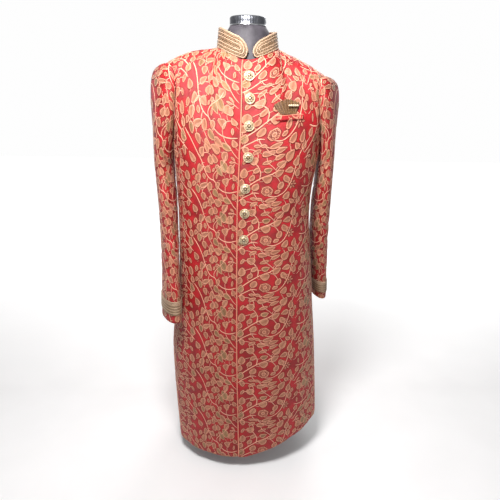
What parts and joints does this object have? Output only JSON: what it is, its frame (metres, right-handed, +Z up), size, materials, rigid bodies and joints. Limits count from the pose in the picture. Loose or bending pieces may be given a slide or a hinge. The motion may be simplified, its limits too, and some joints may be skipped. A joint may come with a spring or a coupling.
{
  "type": "sherwani coat on a limbless dress form",
  "caption": "Knee-length red brocade sherwani with a braided standing collar, a buttoned front and long sleeves, worn by a limbless dress form on a round stand.",
  "frame": {"origin": "centre of the base's underside, on the floor below the form's pole", "axes": "+Z up along the pole, -Y out of the coat's buttoned front, +X to the wearer's left"},
  "size_m": [0.4821, 0.3551, 1.196],
  "materials": {
    "brocade": "satin brocade with raised gold work",
    "braid": "twisted gold thread",
    "piping": "satin cord",
    "pocket_silk": "pleated silk",
    "button_metal": "antiqued, part polished",
    "pearl": "pearl lustre",
    "form": "smooth, low sheen",
    "neck_cap": "brushed sides",
    "stand": "satin"
  },
  "bodies": {
    "root": {"front_left": "brocade", "front_right": "brocade", "back": "brocade", "sleeve_left_upper": "brocade", "sleeve_left_under": "brocade", "sleeve_right_upper": "brocade", "sleeve_right_under": "brocade", "collar": "braid", "cuff_band_left": "braid", "cuff_band_right": "braid", "front_piping": "piping", "button_1": "button_metal", "button_2": "button_metal", "button_3": "button_metal", "button_4": "button_metal", "button_5": "button_metal", "button_6": "button_metal", "button_7": "button_metal", "pocket_welt": "brocade", "pocket_square": "pocket_silk", "pocket_pearls": "pearl", "form_torso": "form", "form_neck_cap": "neck_cap", "stand_pole": "stand", "stand_base": "stand"}
  },
  "joints": []
}
